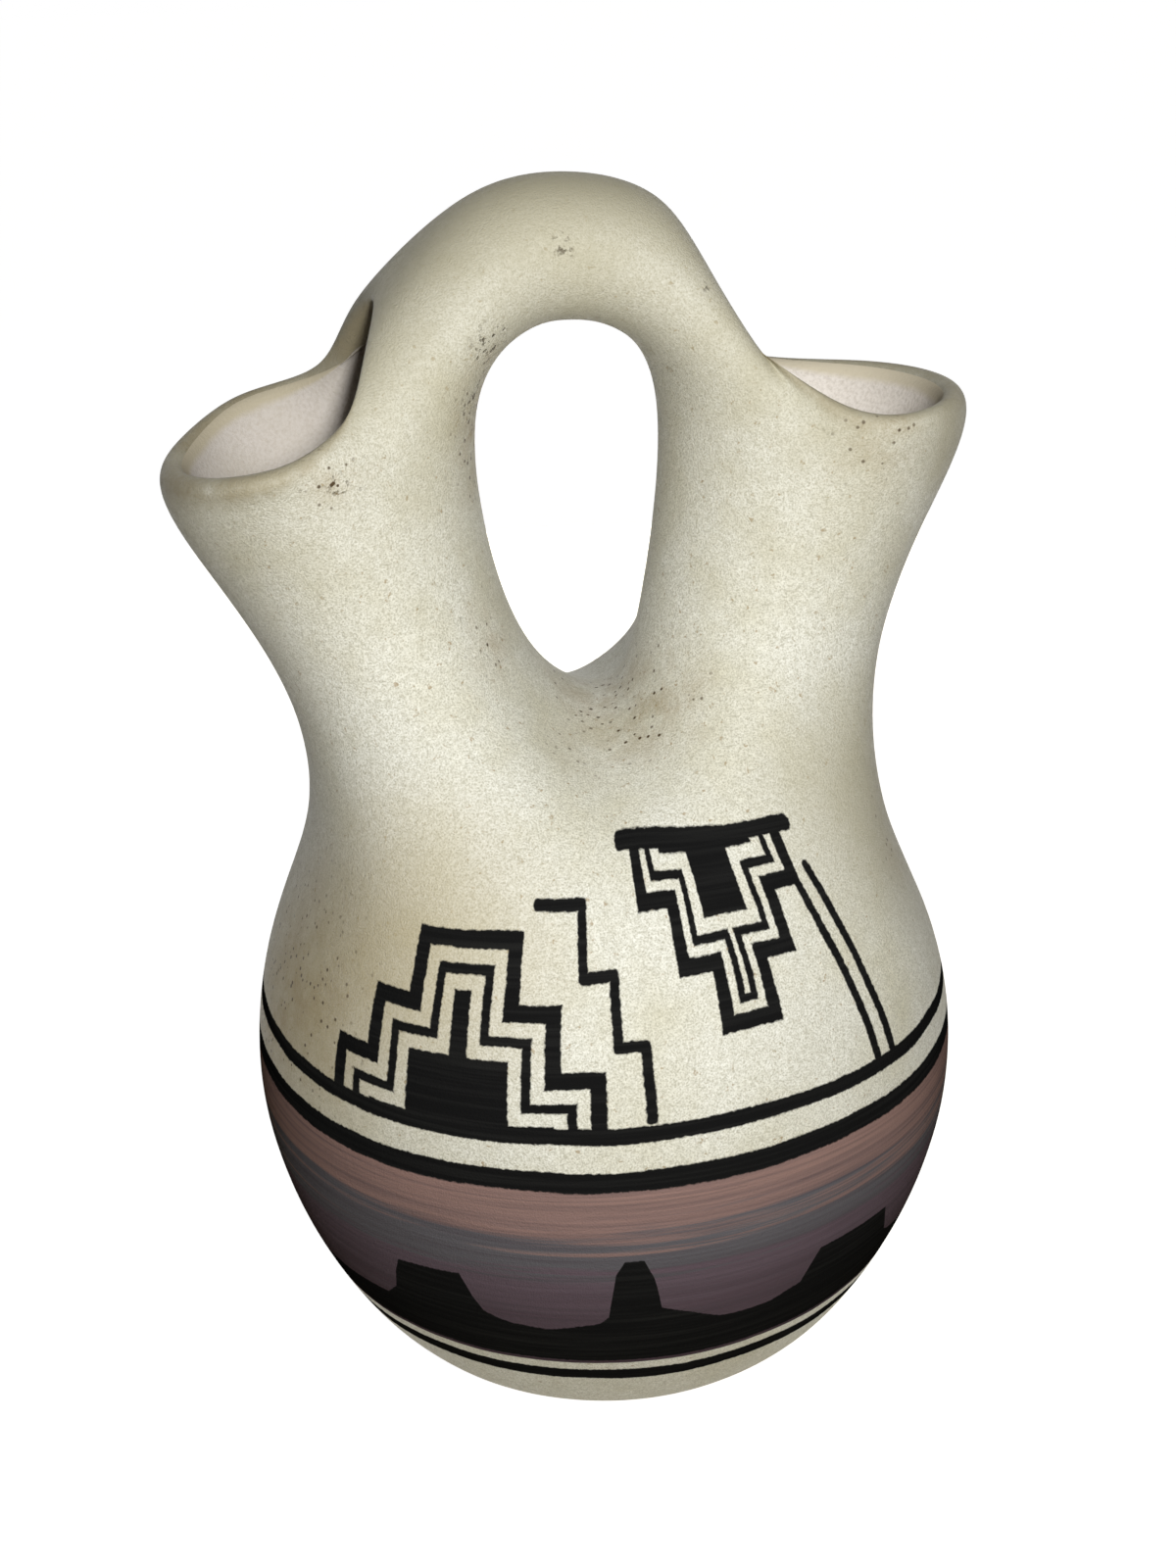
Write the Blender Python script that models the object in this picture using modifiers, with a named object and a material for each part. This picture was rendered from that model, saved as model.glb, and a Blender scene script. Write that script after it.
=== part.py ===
"""Wedding vase: a round pot with two spouts and a bridge handle between them.

The pot is luted together from six clay members, as a potter builds it: a foot slab, a belly bowl, a
shoulder ring, two spouts and a bridge handle.  One smooth form is modelled as a coarse cage, given its
wall, subdivided, and then parted at the luted seams, so that every member lines up with its neighbours.

Units are metres, +Z is up, and the origin is the middle of the foot's flat underside.  The spouts lie
along X and the front of the vase faces -Y.
"""

from math import copysign, cos, pi, radians, sin

import bmesh
import bpy

# Clay
WALL = 0.0052
SEAM_GAP = 0.0003

# Foot and belly, turned about the vertical axis
FOOT_FLAT_RADIUS = 0.033
FOOT_RADIUS = 0.0388
HAUNCH_HEIGHT = 0.0165
HAUNCH_RADIUS = 0.0510
BELLY_HEIGHT = 0.0434
BELLY_RADIUS = 0.0599

# Shoulder and waist, narrower from front to back than from side to side
SHOULDER_RISE = 0.027
SHOULDER_HALF_WIDTH = 0.0561
SHOULDER_HALF_DEPTH = 0.0575
SHOULDER_FULLNESS = 0.85
WAIST_RISE = 0.0196
WAIST_HALF_WIDTH = 0.0442
WAIST_HALF_DEPTH = 0.043
WAIST_FRONT_RISE = 0.005
WAIST_FULLNESS = 0.5

# Fork, where the two spouts part above the waist
CROTCH_RISE = 0.0165
CROTCH_SLOPE_DEPTH = 0.0183
CROTCH_SLOPE_DROP = 0.0044
CROTCH_SHIFT = 0.002

# Opening between the spouts, under the handle
LOOP_HEIGHT = 0.0630
LOOP_LOW_RISE = 0.0112
LOOP_LOW_HALF_WIDTH = 0.0114
LOOP_HIGH_RISE = 0.0536
LOOP_HIGH_HALF_WIDTH = 0.0173

# Spouts; the right one stands further out, and its top sags at the front and back
SPOUT_LOW_REACH = 0.0446
SPOUT_LOW_HALF_DEPTH = 0.0187
SPOUT_HIGH_REACH = 0.0609
SPOUT_HIGH_DROP = 0.0089
SPOUT_HIGH_HALF_DEPTH = 0.0229
RIGHT_LOW_GAIN = 0.0008
RIGHT_HIGH_GAIN = 0.0012
RIGHT_SAG = 0.0052

# Mouths: the rim climbs from a low tip along the sides, then through a notch up to the handle
TIP_REACH = 0.0633
TIP_RISE = 0.0463
SIDE_CLIMB = 0.0046
MOUTH_TILT = 0.0016
RIGHT_TIP_LIFT = 0.0040
RIGHT_SIDE_CLIMB = -0.0082
RIGHT_MOUTH_TILT = 0.0008
MOUTH_HALF_DEPTH = 0.0272
NOTCH_HALF_DEPTH = 0.0125
BACK_NOTCH_LIFT = 0.0015
FRONT_NOTCH_LIFT = 0.0045
HEEL_REACH = 0.0231
HEEL_RISE = 0.0614

# Bridge handle, with a ridge down either side of each notch
HANDLE_THICKNESS = 0.0216
HANDLE_HALF_DEPTH = 0.0124
ARCH_RADIUS = 0.0165
HIP_ANGLE = radians(22)
RIGHT_HIP_ANGLE = radians(26)
HIP_SHIFT = 0.0005
HIP_INNER = 0.0173
HIP_OUTER = 0.0383
CREST_REACH = 0.0220
CREST_SHIFT = -0.0026
CREST_RISE = 0.0712
BACK_RIDGE_REACH = 0.0302
BACK_RIDGE_RISE = 0.0649
FRONT_RIDGE_REACH = 0.0292
FRONT_RIDGE_RISE = 0.0624
RIDGE_HALF_DEPTH = 0.0138
HEEL_SHIFT = -0.0038

# The neck leans a little to the left, as the clay set
LEAN = -0.0024

# Luted seams
FOOT_SEAM_HEIGHT = 0.010
SHOULDER_SEAM_RISE = 0.0137
FORK_SEAM_DROP = 0.006
HANDLE_SEAM_ANGLE = radians(38)

# Heights worked out from the rises above
SHOULDER_HEIGHT = BELLY_HEIGHT + SHOULDER_RISE
WAIST_HEIGHT = SHOULDER_HEIGHT + WAIST_RISE
CROTCH_HEIGHT = WAIST_HEIGHT + CROTCH_RISE
LOOP_TOP_HEIGHT = CROTCH_HEIGHT + LOOP_HEIGHT
HEIGHT = LOOP_TOP_HEIGHT + HANDLE_THICKNESS
ARCH_HEIGHT = LOOP_TOP_HEIGHT - ARCH_RADIUS
SHOULDER_SEAM_HEIGHT = BELLY_HEIGHT + SHOULDER_SEAM_RISE
FORK_SEAM_HEIGHT = CROTCH_HEIGHT - FORK_SEAM_DROP

# Cage and surface
BODY_SIDES = 12
SPOUT_SIDES = 10
HANDLE_SIDES = 8
SUBDIVISIONS = 2
SLIP_COLOUR = (0.62, 0.57, 0.44, 1.0)
SLIP_ROUGHNESS = 0.45
CUTTER_REACH = 0.2


def swell(sides):
    """How far outside a smooth round section its cage of so many sides has to stand."""
    return 3 / (2 + cos(2 * pi / sides))


def body_ring(height, half_width, half_depth, front_rise=0.0, fullness=1.0):
    """Points of one ring of the body, from +X towards +Y; a low fullness flattens its front and back."""
    wide = half_width * swell(BODY_SIDES)
    deep = half_depth * swell(BODY_SIDES)
    points = []
    for i in range(BODY_SIDES):
        turn = 2 * pi * i / BODY_SIDES
        breadth = copysign(abs(sin(turn)) ** fullness, sin(turn))
        points.append((wide * cos(turn), deep * breadth, height + front_rise * sin(turn) ** 2))
    return points


def spout_ring(side, outer, inner, half_depth, sag=0.0):
    """Points of one slanting ring of a spout, from its outer tip round by +Y; outer and inner are (x, z)."""
    turns = [2 * pi * i / SPOUT_SIDES for i in range(SPOUT_SIDES)]
    middle = ((outer[0] + inner[0]) / 2, (outer[1] + inner[1]) / 2)
    wide = (outer[0] - inner[0]) / 2 * swell(SPOUT_SIDES)
    rise = (outer[1] - inner[1]) / 2 * swell(SPOUT_SIDES)
    deep = half_depth * swell(SPOUT_SIDES)
    return [
        (side * (middle[0] + wide * cos(t)), deep * sin(t), middle[1] + rise * cos(t) - sag * sin(t) ** 2)
        for t in turns
    ]


def rim_ring(side):
    """Points of one mouth's rim, in the order of the spout's rings."""
    tip_rise = TIP_RISE + RIGHT_TIP_LIFT if side > 0 else TIP_RISE
    side_climb = RIGHT_SIDE_CLIMB if side > 0 else SIDE_CLIMB
    tilt = RIGHT_MOUTH_TILT if side > 0 else MOUTH_TILT
    heel_reach = HEEL_REACH + side * HEEL_SHIFT
    points = []
    for i in range(SPOUT_SIDES):
        turn = 2 * pi * i / SPOUT_SIDES
        inward = (1 - cos(turn)) / 2
        climb = side_climb * inward + (HEEL_RISE - tip_rise - side_climb) * inward**5 + tilt * sin(turn)
        breadth = MOUTH_HALF_DEPTH * swell(SPOUT_SIDES) * sin(turn)
        if i == 4:
            breadth, climb = NOTCH_HALF_DEPTH, climb + BACK_NOTCH_LIFT
        if i == 6:
            breadth, climb = -NOTCH_HALF_DEPTH, climb + FRONT_NOTCH_LIFT
        reach = TIP_REACH + (heel_reach - TIP_REACH) * inward
        points.append((side * reach, breadth, CROTCH_HEIGHT + tip_rise + climb))
    return points


def handle_ring(side, arch_angle, inner_radius, outer_radius, shift):
    """Points of one ring of the bridge, square to its arch, from its +Y flank round by its underside."""
    middle = (inner_radius + outer_radius) / 2
    half = (outer_radius - inner_radius) / 2 * swell(HANDLE_SIDES)
    points = []
    for i in range(HANDLE_SIDES):
        turn = pi / 2 + 2 * pi * i / HANDLE_SIDES
        radius = middle + half * cos(turn)
        points.append(
            (
                side * radius * sin(arch_angle) + shift,
                HANDLE_HALF_DEPTH * swell(HANDLE_SIDES) * sin(turn),
                ARCH_HEIGHT + radius * cos(arch_angle),
            )
        )
    return points


def add_points(bm, points):
    return [bm.verts.new(p) for p in points]


def skin(bm, lower, upper):
    """A closed strip of quads between two rings of as many points."""
    count = len(lower)
    for i in range(count):
        j = (i + 1) % count
        bm.faces.new((lower[i], lower[j], upper[j], upper[i]))


def add_body(bm):
    """The turned body from its underside up to the waist; returns the waist's ring."""
    rings = [
        body_ring(0, FOOT_FLAT_RADIUS, FOOT_FLAT_RADIUS),
        body_ring(0, FOOT_RADIUS, FOOT_RADIUS),
        body_ring(HAUNCH_HEIGHT, HAUNCH_RADIUS, HAUNCH_RADIUS),
        body_ring(BELLY_HEIGHT, BELLY_RADIUS, BELLY_RADIUS),
        body_ring(
            SHOULDER_HEIGHT, SHOULDER_HALF_WIDTH, SHOULDER_HALF_DEPTH, fullness=SHOULDER_FULLNESS
        ),
        body_ring(
            WAIST_HEIGHT, WAIST_HALF_WIDTH, WAIST_HALF_DEPTH, WAIST_FRONT_RISE, WAIST_FULLNESS
        ),
    ]
    lower = add_points(bm, rings[0])
    bm.faces.new(lower)
    for ring in rings[1:]:
        upper = add_points(bm, ring)
        skin(bm, lower, upper)
        lower = upper
    return lower


def add_spout(bm, side, waist, crotch, arch_top):
    """One spout: from its half of the waist and the crotch, up to its open mouth and its half of the bridge."""
    quarter = BODY_SIDES // 4
    outward = [0, 1, 2, 3, None, None, None, 9, 10, 11]
    mirrored = [None if k is None else (2 * quarter - k) % BODY_SIDES for k in outward]
    columns = outward if side > 0 else mirrored
    foot = [waist[k] if k is not None else crotch[i - 4] for i, k in enumerate(columns)]

    low_height = CROTCH_HEIGHT + LOOP_LOW_RISE
    low = add_points(
        bm,
        spout_ring(
            side,
            (SPOUT_LOW_REACH + (RIGHT_LOW_GAIN if side > 0 else 0), low_height),
            (LOOP_LOW_HALF_WIDTH, low_height),
            SPOUT_LOW_HALF_DEPTH,
        ),
    )
    skin(bm, foot, low)

    tip_height = CROTCH_HEIGHT + TIP_RISE + (RIGHT_TIP_LIFT if side > 0 else 0)
    high = add_points(
        bm,
        spout_ring(
            side,
            (SPOUT_HIGH_REACH + (RIGHT_HIGH_GAIN if side > 0 else 0), tip_height - SPOUT_HIGH_DROP),
            (LOOP_HIGH_HALF_WIDTH, CROTCH_HEIGHT + LOOP_HIGH_RISE),
            SPOUT_HIGH_HALF_DEPTH,
            RIGHT_SAG if side > 0 else 0,
        ),
    )
    skin(bm, low, high)

    crest = add_points(
        bm,
        [
            (side * BACK_RIDGE_REACH + HEEL_SHIFT, RIDGE_HALF_DEPTH, CROTCH_HEIGHT + BACK_RIDGE_RISE),
            (side * CREST_REACH + CREST_SHIFT, 0, CROTCH_HEIGHT + CREST_RISE),
            (side * FRONT_RIDGE_REACH + HEEL_SHIFT, -RIDGE_HALF_DEPTH, CROTCH_HEIGHT + FRONT_RIDGE_RISE),
        ],
    )
    skin(bm, high[:4] + crest + high[7:], add_points(bm, rim_ring(side)))

    root = high[3:8] + crest[::-1]
    hip_angle = RIGHT_HIP_ANGLE if side > 0 else HIP_ANGLE
    hip = add_points(bm, handle_ring(side, hip_angle, HIP_INNER, HIP_OUTER, HIP_SHIFT))
    skin(bm, root, hip)
    skin(bm, hip, arch_top)


def lean_neck(bm):
    """Shifts everything above the waist sideways, more the higher it stands."""
    for vert in bm.verts:
        above = max(0.0, vert.co.z - WAIST_HEIGHT) / (HEIGHT - WAIST_HEIGHT)
        vert.co.x += LEAN * above


def vase_cage():
    """The outer surface of the whole vase as a coarse cage, open at the two mouths."""
    bm = bmesh.new()
    waist = add_body(bm)
    quarter = BODY_SIDES // 4
    slope_height = CROTCH_HEIGHT - CROTCH_SLOPE_DROP
    crotch = add_points(
        bm,
        [
            (CROTCH_SHIFT, CROTCH_SLOPE_DEPTH, slope_height),
            (CROTCH_SHIFT, 0, CROTCH_HEIGHT),
            (CROTCH_SHIFT, -CROTCH_SLOPE_DEPTH, slope_height),
        ],
    )
    arch_top = add_points(bm, handle_ring(1, 0, ARCH_RADIUS, ARCH_RADIUS + HANDLE_THICKNESS, HIP_SHIFT))
    for side in (1, -1):
        add_spout(bm, side, waist, crotch, arch_top)
    lean_neck(bm)
    bmesh.ops.recalc_face_normals(bm, faces=bm.faces)
    mesh = bpy.data.meshes.new("vase_cage")
    bm.to_mesh(mesh)
    bm.free()
    mesh.shade_smooth()
    return mesh


def cutter(name, outline, cutters):
    """A prism through the whole depth of the vase, from an outline of (x, z) points."""
    bm = bmesh.new()
    near = add_points(bm, [(x, -CUTTER_REACH, z) for x, z in outline])
    far = add_points(bm, [(x, CUTTER_REACH, z) for x, z in outline])
    skin(bm, near, far)
    bm.faces.new(near)
    bm.faces.new(far[::-1])
    bmesh.ops.recalc_face_normals(bm, faces=bm.faces)
    mesh = bpy.data.meshes.new(name)
    bm.to_mesh(mesh)
    bm.free()
    obj = bpy.data.objects.new(name, mesh)
    obj.display_type = "WIRE"
    obj.hide_render = True
    cutters.objects.link(obj)
    return obj


def level_outline(low, high):
    """The stretch of the body between two level seams."""
    return [(-CUTTER_REACH, low), (CUTTER_REACH, low), (CUTTER_REACH, high), (-CUTTER_REACH, high)]


def lean_at(height):
    return LEAN * (height - WAIST_HEIGHT) / (HEIGHT - WAIST_HEIGHT)


def handle_seam(side, away):
    """Two points of a handle seam, half a gap outside the handle (away 1) or inside it (away -1)."""
    half_gap = away * SEAM_GAP / 2
    base = (
        HIP_SHIFT + lean_at(ARCH_HEIGHT) + side * half_gap * cos(HANDLE_SEAM_ANGLE),
        ARCH_HEIGHT - half_gap * sin(HANDLE_SEAM_ANGLE),
    )
    end = (
        base[0] + side * CUTTER_REACH * sin(HANDLE_SEAM_ANGLE),
        base[1] + CUTTER_REACH * cos(HANDLE_SEAM_ANGLE),
    )
    return base, end


def spout_outline(side):
    """All on one side of the fork, above the shoulder ring and below the handle's seam."""
    low = FORK_SEAM_HEIGHT + SEAM_GAP / 2
    middle = CROTCH_SHIFT + lean_at(CROTCH_HEIGHT) + side * SEAM_GAP / 2
    base, end = handle_seam(side, 1)
    return [(middle, low), (middle, base[1]), base, end, (side * CUTTER_REACH, end[1]), (side * CUTTER_REACH, low)]


def handle_outline():
    """The wedge of the arch between the two handle seams."""
    left_base, left_end = handle_seam(-1, -1)
    right_base, right_end = handle_seam(1, -1)
    tip = (left_base[0] + right_base[0]) / 2, max(left_base[1], right_base[1])
    return [tip, right_end, left_end]


def slip(name):
    material = bpy.data.materials.new(name)
    material.use_nodes = True
    shader = material.node_tree.nodes["Principled BSDF"]
    shader.inputs["Base Color"].default_value = SLIP_COLOUR
    shader.inputs["Roughness"].default_value = SLIP_ROUGHNESS
    material.diffuse_color = SLIP_COLOUR
    return material


def member(name, cage, outline, vase, cutters):
    """One clay member: the walled, smoothed cage kept inside its own cutter."""
    obj = bpy.data.objects.new(name, cage.copy())
    obj.data.name = name
    obj.data.materials.append(slip(name + "_slip"))
    vase.objects.link(obj)

    wall = obj.modifiers.new("wall", "SOLIDIFY")
    wall.thickness = WALL
    wall.offset = -1
    wall.use_even_offset = False

    smooth = obj.modifiers.new("smooth", "SUBSURF")
    smooth.levels = SUBDIVISIONS
    smooth.render_levels = SUBDIVISIONS

    seam = obj.modifiers.new("seams", "BOOLEAN")
    seam.operation = "INTERSECT"
    seam.solver = "EXACT"
    seam.object = cutter(name + "_cutter", outline, cutters)
    return obj


def build():
    for old in list(bpy.data.objects):
        bpy.data.objects.remove(old)
    vase = bpy.data.collections.new("wedding_vase")
    cutters = bpy.data.collections.new("cutters")
    for collection in (vase, cutters):
        bpy.context.scene.collection.children.link(collection)

    half_gap = SEAM_GAP / 2
    cage = vase_cage()
    outlines = {
        "foot_slab": level_outline(-CUTTER_REACH, FOOT_SEAM_HEIGHT - half_gap),
        "belly_bowl": level_outline(FOOT_SEAM_HEIGHT + half_gap, SHOULDER_SEAM_HEIGHT - half_gap),
        "shoulder_ring": level_outline(SHOULDER_SEAM_HEIGHT + half_gap, FORK_SEAM_HEIGHT - half_gap),
        "left_spout": spout_outline(-1),
        "right_spout": spout_outline(1),
        "bridge_handle": handle_outline(),
    }
    for name, outline in outlines.items():
        member(name, cage, outline, vase, cutters)
    bpy.data.meshes.remove(cage)


build()
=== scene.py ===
from math import atan2, copysign, cos, pi, radians, sin

import bmesh
import bpy
from mathutils import Matrix, Vector


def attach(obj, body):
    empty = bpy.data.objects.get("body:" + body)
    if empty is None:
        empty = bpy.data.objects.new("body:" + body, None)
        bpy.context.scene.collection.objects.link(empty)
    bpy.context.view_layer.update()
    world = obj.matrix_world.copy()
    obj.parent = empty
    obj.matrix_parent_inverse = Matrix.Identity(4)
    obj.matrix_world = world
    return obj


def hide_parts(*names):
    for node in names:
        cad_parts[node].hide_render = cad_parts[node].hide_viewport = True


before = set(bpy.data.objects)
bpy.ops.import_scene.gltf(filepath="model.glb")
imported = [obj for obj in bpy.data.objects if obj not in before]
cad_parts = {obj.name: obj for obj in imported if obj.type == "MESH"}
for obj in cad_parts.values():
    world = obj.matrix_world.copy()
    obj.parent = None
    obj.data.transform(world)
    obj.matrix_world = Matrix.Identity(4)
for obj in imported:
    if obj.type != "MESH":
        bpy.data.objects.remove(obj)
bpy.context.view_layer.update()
mm = 0.001
print("frame loaded:", len(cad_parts), "nodes")

bpy.context.scene.view_settings.view_transform = "Standard"

camera = {
    "distance": 319.2,  # mm from the lens to the vase's axis
    "tilt": 22.54,  # degrees above level
    "roll": 2.41,
    "swing": 11.49,  # towards the left spout
    "aimHeight": 94.4,
    "sidestep": -0.69,
    "lens": 45.0,
    "sensor": 36.0,
}


def aimCamera():
    tilt, roll = radians(camera["tilt"]), radians(camera["roll"])
    ahead = Vector((0, cos(tilt), -sin(tilt)))
    level = Vector((1, 0, 0))
    upright = Vector((0, sin(tilt), cos(tilt)))
    place = Vector((camera["sidestep"], 0, camera["aimHeight"])) - ahead * camera["distance"]
    right = level * cos(roll) - upright * sin(roll)
    top = level * sin(roll) + upright * cos(roll)
    pose = Matrix((right, top, -ahead)).transposed().to_4x4()
    pose.translation = place * mm
    data = bpy.data.cameras.new("photoCamera")
    data.lens = camera["lens"]
    data.sensor_width = camera["sensor"]
    data.clip_start = 0.01
    eye = bpy.data.objects.new("photoCamera", data)
    bpy.context.scene.collection.objects.link(eye)
    eye.matrix_world = Matrix.Rotation(radians(-camera["swing"]), 4, "Z") @ pose
    bpy.context.scene.camera = eye
    return eye


eye = aimCamera()
print("camera set")


# The form, all in mm: the cage stands a little outside the smooth clay
bowl = {
    "sides": 12,
    "flatRadius": 33.0,
    "footRadius": 38.8,
    "haunch": (16.5, 51.0),  # height, radius
    "belly": (43.4, 59.9),
    "shoulder": (70.4, 56.1, 57.5),  # height, half width, half depth
    "shoulderFullness": 0.85,
    "waist": (90.0, 44.2, 43.0),
    "waistFullness": 0.5,
    "waistFrontRise": 5.0,
}
fork = {
    "height": 106.5,
    "slopeDepth": 18.3,
    "slopeDrop": 4.4,
    "shift": 2.0,  # to the right of the foot's middle
    "dip": (4.9, 107.5),  # the saddle's lowest place, x and height
    "twist": 0.24,  # the saddle runs askew, away from the near left
}
spout = {
    "sides": 10,
    "lowRise": 11.2,  # above the fork
    "lowReach": 44.6,
    "lowInner": [(11.3, 9.2), (10.3, 14.5)],  # left and right: reach, rise above the fork
    "lowHalfDepth": 18.7,
    "highReach": 60.9,
    "highDrop": 8.9,  # below the tip
    "highInner": 17.3,
    "highInnerRise": 53.6,
    "highHalfDepth": 22.9,
    "rightGain": (0.8, 1.2),  # the right neck stands further out, low and high
    "rightSag": 5.2,  # front and back of the right neck's top
}
mouth = {
    "tipReach": 63.3,
    "tipRise": 46.3,
    "rightTipLift": 4.0,  # the right tip stands higher
    "sideClimb": 4.6,
    "rightSideClimb": -7.2,  # the right rim sags between tip and heel
    "halfDepth": 27.2,
    "leftFarTrim": 2.3,  # the left rim runs straighter on its far side
    "backLift": 1.6,
    "rightBackLift": -0.4,
    "notchHalfDepth": 12.5,
    "notchLift": (1.5, 4.5),  # far side, near side
    "rightNearLift": 3.5,  # the right near lip runs out of the bridge's flank
    "rightNearRidge": -1.8,
    "rightFlare": 0.95,
    "heelReach": 23.1,
    "heelRise": 61.4,
    "leftHeelRise": 70.5,  # the left notch runs up the bridge as a slit
    "heelShift": -3.8,
    "crest": (22.0, 71.2),  # reach, rise
    "crestShift": -2.6,
    "ridgeReach": (30.2, 29.2),  # far side, near side
    "ridgeRise": (64.9, 62.4),
    "ridgeHalfDepth": 13.8,
}
handle = {
    "sides": 8,
    "loopHeight": 63.0,
    "thickness": 21.6,
    "halfDepth": 12.4,
    "archRadius": 16.5,
    "hipAngle": 22.0,
    "rightHipAngle": 26.0,
    "hipShift": 0.5,
    "hipRadii": (17.3, 38.3),
}
clay = {
    "wall": 5.2,
    "lean": -2.4,  # the neck leans to the left
    "smoothing": 4,
    "unevenness": 0.35,
    "unevenSize": 32.0,
}


def swell(sides):  # how far a cage stands outside its smooth section
    return 3 / (2 + cos(2 * pi / sides))


def editMesh():  # the form's mesh in edit mode, with its points ready to count
    bm = bmesh.from_edit_mesh(form.data)
    bm.verts.ensure_lookup_table()
    return bm


def selectLoops(*loops):
    bm = editMesh()
    bpy.ops.mesh.select_all(action="DESELECT")
    for loop in loops:
        for a, b in zip(loop, loop[1:] + loop[:1]):
            bm.edges.get((bm.verts[a], bm.verts[b])).select_set(True)
    bmesh.update_edit_mesh(form.data)
    return bm


def selectPoints(*points):
    bm = editMesh()
    bpy.ops.mesh.select_all(action="DESELECT")
    for i in points:
        bm.verts[i].select_set(True)
    bmesh.update_edit_mesh(form.data)
    return bm


def pullRing(loop, places):  # extrudes a closed loop of points and sets each new one in its place
    bm = selectLoops(loop)
    starts = [bm.verts[i].co.copy() for i in loop]
    count = len(bm.verts)
    bpy.ops.mesh.extrude_edges_move(TRANSFORM_OT_translate={"value": (0, 0, 0)})
    bm = editMesh()
    fresh = list(bm.verts[count:])
    ring = []
    for start, place in zip(starts, places):
        point = min(fresh, key=lambda v: (v.co - start).length_squared)
        fresh.remove(point)
        point.co = Vector(place) * mm
        ring.append(point.index)
    bmesh.update_edit_mesh(form.data)
    return ring


def crossOpening(first, last, places):  # draws a line of points across an opening
    path = []
    here = first
    for place in places:
        bm = selectPoints(here)
        step = Vector(place) * mm - bm.verts[here].co
        here = len(bm.verts)
        bpy.ops.mesh.extrude_vertices_move(TRANSFORM_OT_translate={"value": step})
        path.append(here)
    selectPoints(here, last)
    bpy.ops.mesh.edge_face_add()
    return path


def bowlRing(height, halfWidth, halfDepth, frontRise=0.0, fullness=1.0):
    ring = []
    for i in range(bowl["sides"]):
        turn = 2 * pi * i / bowl["sides"]
        breadth = copysign(abs(sin(turn)) ** fullness, sin(turn))
        wide, deep = halfWidth * swell(bowl["sides"]), halfDepth * swell(bowl["sides"])
        ring.append((wide * cos(turn), deep * breadth, height + frontRise * sin(turn) ** 2))
    return ring


def spoutRing(side, outer, inner, halfDepth, sag=0, twist=0):
    ring = []
    for i in range(spout["sides"]):
        turn = 2 * pi * i / spout["sides"]
        out = cos(turn) * swell(spout["sides"])
        x = (outer[0] + inner[0]) / 2 + (outer[0] - inner[0]) / 2 * out
        z = (outer[1] + inner[1]) / 2 + (outer[1] - inner[1]) / 2 * out
        z -= sag * sin(turn) ** 2
        y = halfDepth * swell(spout["sides"]) * sin(turn)
        ring.append((side * x + twist * y * (1 - cos(turn)) / 2, y, z))
    return ring


# the rim's points run from the tip, 0, over the far side to the heel, 5, and back on the near side
def rimRing(side):
    lift = mouth["rightTipLift"] if side > 0 else 0
    tip = fork["height"] + mouth["tipRise"] + lift
    sideClimb = mouth["rightSideClimb"] if side > 0 else mouth["sideClimb"]
    backLift = mouth["rightBackLift"] if side > 0 else mouth["backLift"]
    heel = mouth["heelReach"] + side * mouth["heelShift"]
    steep = mouth["heelRise"] - mouth["tipRise"] - lift - sideClimb
    slit = 0 if side > 0 else mouth["leftHeelRise"] - mouth["heelRise"]
    ring = []
    for i in range(spout["sides"]):
        turn = 2 * pi * i / spout["sides"]
        inward = (1 - cos(turn)) / 2
        climb = sideClimb * inward + steep * inward**5 + backLift * sin(turn)
        y = mouth["halfDepth"] * swell(spout["sides"]) * sin(turn)
        if i in (4, 6):
            y = mouth["notchHalfDepth"] * (5 - i)
            climb += mouth["notchLift"][i == 6]
            climb += mouth["rightNearLift"] if (side, i) == (1, 6) else 0
        if (side, i) == (1, 7):
            y *= mouth["rightFlare"]
        trim = mouth["leftFarTrim"] / i if side < 0 and i in (1, 2) else 0
        if i == 5:
            climb += slit
        x = mouth["tipReach"] + (heel - mouth["tipReach"]) * inward - trim
        ring.append((side * x, y, tip + climb))
    return ring


def archRing(side, angle, inner, outer):
    middle = (inner + outer) / 2
    half = (outer - inner) / 2 * swell(handle["sides"])
    archHeight = fork["height"] + handle["loopHeight"] - handle["archRadius"]
    ring = []
    for i in range(handle["sides"]):
        turn = pi / 2 + 2 * pi * i / handle["sides"]
        radius = middle + half * cos(turn)
        y = handle["halfDepth"] * swell(handle["sides"]) * sin(turn)
        x = side * radius * sin(angle) + handle["hipShift"]
        ring.append((x, y, archHeight + radius * cos(angle)))
    return ring


# Bowl: a disc pulled up ring by ring
bpy.ops.object.select_all(action="DESELECT")
bpy.ops.mesh.primitive_circle_add(
    vertices=bowl["sides"], radius=bowl["flatRadius"] * swell(bowl["sides"]) * mm, fill_type="NGON"
)
form = bpy.context.object
form.name = "clayForm"
bpy.ops.object.mode_set(mode="EDIT")
bpy.ops.mesh.select_mode(type="EDGE")
disc = bmesh.from_edit_mesh(form.data)
ring = [v.index for v in sorted(disc.verts, key=lambda v: atan2(v.co.y, v.co.x) % (2 * pi - 1e-4))]
foot = bowl["footRadius"]
ring = pullRing(ring, bowlRing(0, foot, foot))
for height, radius in (bowl["haunch"], bowl["belly"]):
    ring = pullRing(ring, bowlRing(height, radius, radius))
ring = pullRing(ring, bowlRing(*bowl["shoulder"], fullness=bowl["shoulderFullness"]))
waist = pullRing(ring, bowlRing(*bowl["waist"], bowl["waistFrontRise"], bowl["waistFullness"]))
print("bowl pulled up to the waist")

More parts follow.
